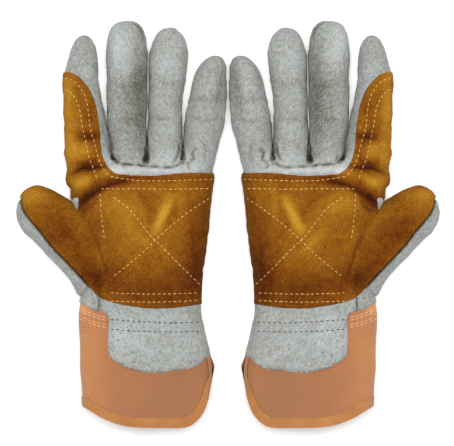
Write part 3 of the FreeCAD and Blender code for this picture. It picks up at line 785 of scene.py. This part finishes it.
def gold_skins(leather, folds):
    """The gold patch, with soft edges that sink into the leather and grooves under its stitching."""
    edge = np.minimum(inside(leather.plan, curve(GOLD, steps=3)), side_seam(leather))
    gold = leather.carrying(edge, folds).clip(edge)
    edge, folds = gold.data[:, 7], gold.data[:, 8]
    gold = gold.plain().raised(PATCH * bulge(edge, 1.3) - PATCH_SINK)
    rows = ROWS["palm"] + ROWS["index"]
    gold = gold.raised(sum(groove(gold, row, *STITCH_GROOVE) for row in rows) + 0.12 * lumps(gold.place, 5, 77))
    # Tone: the marks, painted shade in the folds and painted highlight on the ridges.
    gold.tone[:] = spots(gold.plan, GOLD_MARKS) + GOLD_FOLD_SHADE * folds
    finger = gold.clip(gold.plan[:, 1] - ROOT_CUT)
    cut = FOLDS["index"][1]
    sewn = threads(gold, rows, seed=5)
    return {
        "palm_suede": gold.clip(ROOT_CUT - gold.plan[:, 1]),
        "index_patch_lower": finger.clip(cut - finger.plan[:, 1]),
        "index_patch_upper": finger.clip(finger.plan[:, 1] - cut),
        "palm_stitches": pick(sewn, -math.inf, ROOT_CUT),
        "index_lower_stitches": pick(sewn, ROOT_CUT, cut),
        "index_upper_stitches": pick(sewn, cut, math.inf),
    }


def thumb_skins(thumb):
    """The thumb. Its gold front and its grey back meet in a seam."""
    thumb = thumb.raised(wrinkled(thumb, 23))
    thumb = thumb.raised(crease(thumb, THUMB_CREASES))
    front = np.vstack(([(40, 82), (40, 220), (142, 220)], curve(THUMB_SEAM, closed=False)))
    front = np.minimum(inside(thumb.plan, front), thumb.z - THUMB_SIZE["mid"] + 3)
    thumb = thumb.raised(0.5 * ease(front, 0, 1.6) - 0.8 * np.exp(-((front / 0.8) ** 2)))
    # Tone: the marks on the front, and a dark line of painted shade along the seam's groove.
    thumb.tone[:] = spots(thumb.plan, THUMB_MARKS) * (front > 0) - 2.4 * np.exp(-((front / 0.7) ** 2))
    thumb = thumb.carrying(front, (thumb.plan - THUMB_TIP) @ THUMB_BACK - THUMB_CUT)
    out = {}
    for name, sign in (("front", 1), ("back", -1)):
        half = thumb.clip(sign * thumb.data[:, 7])
        for part, way in (("lower", 1), ("upper", -1)):
            out[f"thumb_{name}_{part}"] = half.clip(way * half.data[:, 8]).plain()
    return out


def cuff_skins(hand):
    """The cuff: cloth inside the leather, open at the hem and up the little-finger side, with tape round its edge."""
    cloth = hand.clip(CLOTH_TOP - hand.plan[:, 1]).raised(-CLOTH_DROP)
    u, v = cloth.plan.T
    flap = np.exp(-(((v - 38) / 9) ** 2)) * ease(20 - u, 0, 9) * ease(SLIT_Z - cloth.z, 0, 2)
    cloth.data[:, 0] -= BACK_FLAP * flap
    cloth = cloth.raised(0.25 * lumps(cloth.place, 30, 51))
    u, v = cloth.plan.T
    hem = inside(cloth.plan, np.vstack(([(-60, 60), (-60, 400), (140, 400)], curve(HEM, closed=False))))
    slit = np.maximum.reduce((abs(cloth.z - SLIT_Z) - SLIT / 2, v - SLIT_TOP, u - 50))
    cloth = cloth.clip(np.minimum(hem, slit))
    cloth.tone[:] = spots(cloth.plan, CLOTH_MARKS)
    ends = cloth.place[np.unique(cloth.border())]
    ends = ends[ends[:, 1] < 60]
    tree = KDTree(len(ends))
    for i, spot in enumerate(ends):
        tree.insert(spot, i)
    tree.balance()
    reach = np.array([tree.find(spot)[2] for spot in cloth.place])
    band = cloth.copy()
    band.tone[:] = 0
    return {
        "cuff_twill": cloth.thick(0, CLOTH),
        "hem_binding": band.clip(BINDING_WIDTH - reach).thick(TAPE, CLOTH + TAPE),
        "cuff_stitches": threads(cloth, ROWS["cuff"], length=2.6, gap=0.7, radius=0.24, seed=7),
    }


def inner_skins(hand):
    """What lies inside the hand: a cloth lining under the palm, and an elastic across the back of the wrist."""
    inner = hand.raised(-LEATHER - 1.2)
    u, v = inner.plan.T
    palm = np.minimum.reduce((u - 26, 88 - u, v - 86, 174 - v, inner.z - SIDE_Z - 4))
    wrist = np.minimum.reduce((u - 30, 88 - u, 4 - abs(v - ELASTIC_V), SIDE_Z - 4 - inner.z))
    return {"lining": inner.clip(palm).thick(0, 0.8), "back_elastic": inner.clip(wrist).thick(0, 1.0)}


def glove_skins():
    """Every skin of one glove, by name."""
    hand, thumb = bodies_of_glove()
    leather, folds, out = grey_skins(hand)
    out["wrist_stitches"] = threads(leather, ROWS["wrist"], length=1.7, gap=1.8, radius=0.38, seed=6)
    return out | gold_skins(leather, folds) | thumb_skins(thumb) | cuff_skins(hand) | inner_skins(hand)


def pick(sewn, low, high):
    """The stitches whose middle lies between two places along the glove."""
    middles = sewn.place.reshape(-1, STITCH_POINTS, 3).mean(1)[:, 1]
    chosen = np.flatnonzero((middles > low) & (middles <= high))
    moved = (np.arange(len(chosen)) - chosen) * STITCH_POINTS
    faces = sewn.faces.reshape(-1, STITCH_FACES, 3)[chosen] + moved[:, None, None]
    return Skin(sewn.data.reshape(-1, STITCH_POINTS, 7)[chosen].reshape(-1, 7), faces.reshape(-1, 3))


# ---- materials


def linear(red, green, blue):
    """A colour given as on a screen, 0 to 255, as light."""
    return tuple(((c / 255 + 0.055) / 1.055) ** 2.4 for c in (red, green, blue)) + (1.0,)


def dial(node, values):
    """Sets a node's inputs by name."""
    for key, value in values.items():
        node.inputs[key].default_value = value


class Material:
    """A node material built up in a few calls. Its patterns lie in each piece's own place at rest, in mm."""

    def __init__(self, name, rough, sheen=0.0, shine=0.25):
        self.made = bpy.data.materials.new(name)
        self.made.use_nodes = True
        self.tree = self.made.node_tree
        self.shader = self.tree.nodes["Principled BSDF"]
        dial(self.shader, {
            "Roughness": rough, "Specular IOR Level": shine, "Sheen Weight": sheen, "Sheen Roughness": 0.6,
        })
        self.rest = self.add("Attribute", {"attribute_name": "rest"}).outputs["Vector"]
        # The tone attribute: colour marks, with painted shade and painted highlights.
        self.tone = self.add("Attribute", {"attribute_name": "tone"}).outputs["Fac"]

    def add(self, kind, settings=None, **inputs):
        """A node, with its settings, and its inputs by name or as i and a number."""
        node = self.tree.nodes.new("ShaderNode" + kind)
        for key, value in (settings or {}).items():
            setattr(node, key, value)
        for key, value in inputs.items():
            socket = node.inputs[int(key[1:])] if key[1:].isdigit() else node.inputs[key.replace("_", " ")]
            if isinstance(value, bpy.types.NodeSocket):
                self.tree.links.new(value, socket)
            else:
                socket.default_value = value
        return node

    def noise(self, size, detail, rough, warp=0.0):
        """Cloudy noise from 0 to 1 with features of about a size in mm."""
        node = self.add("TexNoise", Vector=self.rest, Scale=1 / size, Detail=detail, Roughness=rough, Distortion=warp)
        return node.outputs["Fac"]

    def total(self, *pairs, start=0.0):
        """The sum of some values, each times its own factor."""
        for value, factor in pairs:
            start = self.add("Math", {"operation": "MULTIPLY_ADD"}, i0=value, i1=factor, i2=start).outputs[0]
        return start

    def mix(self, share, first, second):
        return self.add("Mix", {"data_type": "RGBA"}, i0=share, i6=first, i7=second).outputs[2]

    def ramp(self, value, stops):
        """Colour along stops of (place, colour)."""
        node = self.add("ValToRGB", Fac=value)
        bar = node.color_ramp.elements
        while len(bar) < len(stops):
            bar.new(0.5)
        for element, (place, colour) in zip(bar, stops):
            element.position, element.color = place, colour
        return node.outputs["Color"]

    def finish(self, colour, height, deep):
        """Puts the colour on, with bumps of a depth in mm."""
        self.tree.links.new(colour, self.shader.inputs["Base Color"])
        bump = self.add("Bump", Strength=1.0, Distance=deep * MM, Height=height)
        self.tree.links.new(bump.outputs["Normal"], self.shader.inputs["Normal"])
        return self.made


def grey_leather():
    """Split cowhide: a pale grey nap with darker mottling, fine pits and faint wrinkles."""
    m = Material("grey_split_leather", rough=0.95, sheen=0.05)
    cloudy = m.noise(14, 4, 0.6, 0.4)
    patchy = m.noise(2.4, 4, 0.7, 0.6)
    slant = m.add("Mapping", {"vector_type": "TEXTURE"}, Vector=m.rest, Rotation=(0, 0, 0.9), Scale=(2.4, 0.8, 1))
    wrinkle = m.add("TexNoise", Vector=slant.outputs[0], Scale=0.75, Detail=3.0, Roughness=0.6).outputs["Fac"]
    nap = m.noise(0.6, 3, 0.8)
    # The tone brings in painted shade and painted highlights besides the leather's own marks.
    shade = m.total((cloudy, 0.16), (patchy, 0.30), (nap, 0.60), (wrinkle, 0.34), (m.tone, 0.14), start=-0.19)
    colour = m.ramp(shade, [
        (0.10, linear(34, 34, 30)), (0.30, linear(92, 92, 80)), (0.44, linear(134, 136, 128)),
        (0.54, linear(158, 161, 158)), (0.72, linear(192, 197, 197)),
    ])
    return m.finish(colour, m.total((wrinkle, 0.8), (nap, 0.4), (patchy, 0.5)), 1.2)


def gold_leather():
    """Golden suede: yellow-gold where it is brushed one way, red-brown where it is worn or brushed the other.
    Its tone adds painted shade, darker and redder, and painted highlight, paler and yellower.
    """
    m = Material("gold_suede", rough=0.97, shine=0.08)
    cloudy = m.noise(18, 4, 0.6, 0.5)
    patchy = m.noise(4.5, 4, 0.65, 0.5)
    nap = m.noise(0.6, 3, 0.85)
    shade = m.total((cloudy, 0.22), (patchy, 0.22), (nap, 1.1), (m.tone, 0.23), start=-0.31)
    colour = m.ramp(shade, [
        (0.10, linear(50, 18, 2)), (0.30, linear(96, 46, 6)), (0.46, linear(130, 79, 14)),
        (0.60, linear(156, 107, 26)), (0.78, linear(184, 138, 44)),
    ])
    return m.finish(colour, m.total((patchy, 0.8), (nap, 0.5)), 0.7)


def cuff_cloth():
    """Rubberised twill: fine slanting ribs. Painted light makes the thumb side paler and more orange, and painted
    shade makes the little-finger side darker and browner.
    """
    m = Material("cuff_twill", rough=0.72, sheen=0.1)
    split = m.add("SeparateXYZ", Vector=m.rest)
    across = m.total((split.outputs["X"], 1), (split.outputs["Z"], 1))
    unrolled = m.add("CombineXYZ", X=across, Y=split.outputs["Y"])
    slant = m.add(
        "Mapping", {"vector_type": "TEXTURE"}, Vector=unrolled.outputs[0], Rotation=(0, 0, math.radians(-32))
    )
    rib = m.add(
        "TexWave", {"wave_type": "BANDS", "bands_direction": "Y", "wave_profile": "SIN"}, Vector=slant.outputs[0],
        Scale=0.29, Distortion=0.35, Detail=2.0, Detail_Scale=1.5,
    ).outputs["Fac"]
    cloudy = m.noise(22, 3, 0.5)
    grit = m.noise(0.7, 2, 0.6)
    # The tone paints light on the cuff's thumb side and shade on its little-finger side.
    base = m.ramp(m.total((cloudy, 0.30), (m.tone, 0.5)), [
        (0.0, linear(118, 66, 38)), (0.28, linear(144, 82, 44)), (0.5, linear(168, 104, 52)),
        (0.9, linear(198, 144, 80)),
    ])
    ribbed = m.mix(m.total((rib, 0.55)), base, linear(216, 162, 112))
    worn = m.add("MapRange", i0=grit, i1=0.35, i2=0.7, i3=0.0, i4=0.22).outputs[0]
    colour = m.mix(worn, ribbed, linear(112, 58, 32))
    return m.finish(colour, m.total((rib, 1), (grit, 0.4)), 0.22)


def hem_tape():
    """A ribbed cotton tape, a little brighter than the cuff."""
    m = Material("binding_tape", rough=0.8, sheen=0.1)
    weave = m.noise(0.625, 2, 0.7)
    cloudy = m.noise(14, 3, 0.5)
    colour = m.ramp(m.total((cloudy, 0.5), (weave, 0.5)), [
        (0.2, linear(144, 88, 46)), (0.5, linear(168, 112, 60)), (0.8, linear(188, 134, 80)),
    ])
    return m.finish(colour, weave, 0.25)


def plain_weave(name, pale, dark, deep=0.2):
    """A woven cloth or thread of two close colours."""
    m = Material(name, rough=0.85, sheen=0.2)
    weave = m.noise(0.7, 2, 0.6)
    return m.finish(m.ramp(m.total((weave, 1), (m.tone, 0.3)), [(0.25, dark), (0.75, pale)]), weave, deep)


# ---- pieces


def build(name, side, skin, material, slot, nodes, bend):
    """Makes one piece of one glove. bend is its body, or its two bodies and where the bend starts and ends."""
    sign = SIDES[side]
    place = np.maximum(skin.place, (-np.inf, -np.inf, ABOVE_FLOOR)) * (sign, 1, 1) * MM + (0, HEM_Y, 0)
    normal = skin.normal * (sign, 1, 1)
    faces = skin.faces if sign > 0 else skin.faces[:, ::-1]
    mesh = bpy.data.meshes.new(f"{side}_{name}")
    mesh.vertices.add(len(place))
    mesh.vertices.foreach_set("co", place.ravel().astype(np.float32))
    mesh.loops.add(faces.size)
    mesh.loops.foreach_set("vertex_index", faces.ravel().astype(np.int32))
    mesh.polygons.add(len(faces))
    mesh.polygons.foreach_set("loop_start", np.arange(0, faces.size, 3, dtype=np.int32))
    mesh.update(calc_edges=True)
    mesh.validate()
    pattern = skin.place + PATTERN_SHIFT[side]
    marks = (("rest", "FLOAT_VECTOR", "vector", pattern), ("tone", "FLOAT", "value", skin.tone))
    for label, kind, field, values in marks:
        mesh.attributes.new(label, kind, "POINT").data.foreach_set(field, values.ravel().astype(np.float32))
    mesh.normals_split_custom_set_from_vertices(normal.tolist())
    mesh.materials.append(material)
    piece = bpy.data.objects.new(f"{side}_{name}", mesh)
    bpy.context.scene.collection.objects.link(piece)
    bodies = [f"{side}_{b}" for b in bend[0]]
    if len(bodies) == 1:
        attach(piece, bodies[0])
    else:
        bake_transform(piece)
    if nodes:
        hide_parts(*(f"{side}_{n}" for n in nodes))


def across(start, end):
    """The two places of a bend that runs straight along the glove."""
    return (0, start), (0, end)


def dress(side, skins, looks):
    """Builds every piece of one glove, and attaches each piece that lies on one body to it."""
    on_hand = (("hand",),)
    wrist = (("hand", "cuff"), *across(*WRIST_BEND))
    thumb_root = (("hand", "thumb_base"), *(tuple(HINGE.mean(0) + s * HINGE_OUT) for s in HINGE_BEND))
    thumb_fold = (("thumb_base", "thumb_tip"), *(tuple(THUMB_TIP + s * THUMB_BACK) for s in THUMB_BEND))
    bends = {}
    for f in FINGERS:
        end, _, fold_start, fold_end = FOLDS[f]
        bends[f] = {
            "lower": (("hand", f + "_base"), *across(ROOT_CUT, end)),
            "upper": ((f + "_base", f + "_tip"), *across(fold_start, fold_end)),
        }
    plan = {
        "hand_leather": ("grey", ["palm_leather", "back_leather", "wrist_patch"], wrist),
        "palm_suede": ("gold", ["palm_patch"], on_hand),
        "cuff_twill": ("cloth", ["cuff_cloth"], wrist),
        "hem_binding": ("tape", ["hem_tape"], wrist),
        "lining": ("lining", ["palm_lining"], on_hand),
        "back_elastic": ("elastic", ["wrist_elastic"], on_hand),
        "palm_stitches": ("thread", [], on_hand),
        "wrist_stitches": ("dark_thread", [], wrist),
        "cuff_stitches": ("pale_thread", [], wrist),
    }
    for part, node in (("lower", "base"), ("upper", "tip")):
        for f in FINGERS:
            plan[f"{f}_{part}"] = ("grey", [f"{f}_{node}_front", f"{f}_{node}_back"], bends[f][part])
        plan[f"index_patch_{part}"] = ("gold", [f"index_patch_{node}"], bends["index"][part])
        plan[f"index_{part}_stitches"] = ("thread", [], bends["index"][part])
        bend = thumb_root if part == "lower" else thumb_fold
        plan[f"thumb_front_{part}"] = ("gold", [f"thumb_{node}_front"], bend)
        plan[f"thumb_back_{part}"] = ("grey", [f"thumb_{node}_back"], bend)
    for name, (look, nodes, bend) in plan.items():
        build(name, side, skins[name], *looks[look], nodes, bend)


# ---- floor, light and camera

FLOOR_SIZE = 12.0
FLOOR_LOOK = {
    "Base Color": (0.9, 0.9, 0.9, 1), "Roughness": 1.0, "Specular IOR Level": 0.0, "Emission Color": (1, 1, 1, 1),
    "Emission Strength": 0.25,
}
SKY = 0.34
# Each light: its name, its place, what it is aimed at, its width, and its power.
LIGHTS = [
    ("top", (0, 0.12, 1.3), (0, 0, 0), 0.7, 15),
    ("left", (-0.9, 0.3, 0.7), (-0.05, 0, 0), 0.35, 3.4),
    ("right", (0.9, 0.3, 0.7), (0.05, 0, 0), 0.35, 3.4),
]
# The camera sees a width SEEN at the height LEVEL, around AIM.
SEEN, LEVEL, AIM = 0.301, 0.02, (-0.0006, 0.0006)


def area_light(name, place, target, size, power):
    """A round, soft light aimed at a target."""
    light = bpy.data.lights.new(name, "AREA")
    light.shape, light.size, light.energy = "DISK", size, power
    lamp = bpy.data.objects.new(name, light)
    lamp.location = place
    lamp.rotation_euler = (Vector(target) - Vector(place)).to_track_quat("-Z", "Y").to_euler()
    bpy.context.scene.collection.objects.link(lamp)


def set_stage():
    """A pale floor, soft light from above and from both sides, and a camera straight overhead."""
    scene = bpy.context.scene
    mesh = bpy.data.meshes.new("floor")
    half = FLOOR_SIZE / 2
    mesh.from_pydata([(-half, -half, 0), (half, -half, 0), (half, half, 0), (-half, half, 0)], [], [(0, 1, 2, 3)])
    floor = bpy.data.objects.new("floor", mesh)
    paint = bpy.data.materials.new("floor")
    paint.use_nodes = True
    dial(paint.node_tree.nodes["Principled BSDF"], FLOOR_LOOK)
    mesh.materials.append(paint)
    scene.collection.objects.link(floor)

    world = bpy.data.worlds.new("studio")
    world.use_nodes = True
    dial(world.node_tree.nodes["Background"], {"Color": (1, 1, 1, 1), "Strength": SKY})
    scene.world = world
    for light in LIGHTS:
        area_light(*light)

    lens = bpy.data.cameras.new("camera")
    lens.lens, lens.sensor_width = 400.0, 36.0
    camera = bpy.data.objects.new("camera", lens)
    camera.location = (*AIM, LEVEL + SEEN * lens.lens / lens.sensor_width)
    scene.collection.objects.link(camera)
    scene.camera = camera
    scene.view_settings.view_transform = "Standard"


skins = glove_skins()
# Each look: a material, and the name of a slot.
looks = {
    "grey": (grey_leather(), "grey_leather"),
    "gold": (gold_leather(), "gold_leather"),
    "cloth": (cuff_cloth(), "cuff_cloth"),
    "tape": (hem_tape(), "hem_tape"),
    "lining": (plain_weave("lining_cloth", linear(232, 226, 208), linear(196, 188, 166)), "lining_cloth"),
    "elastic": (plain_weave("elastic", linear(236, 236, 230), linear(190, 190, 184)), "elastic"),
    "thread": (plain_weave("gold_thread", linear(228, 192, 116), linear(188, 140, 64), 0.1), "gold_leather"),
    "dark_thread": (plain_weave("grey_thread", linear(84, 84, 82), linear(44, 44, 44), 0.1), "grey_leather"),
    "pale_thread": (plain_weave("pink_thread", linear(236, 190, 150), linear(210, 150, 104), 0.1), "cuff_cloth"),
}
for side in SIDES:
    dress(side, skins, looks)
set_stage()
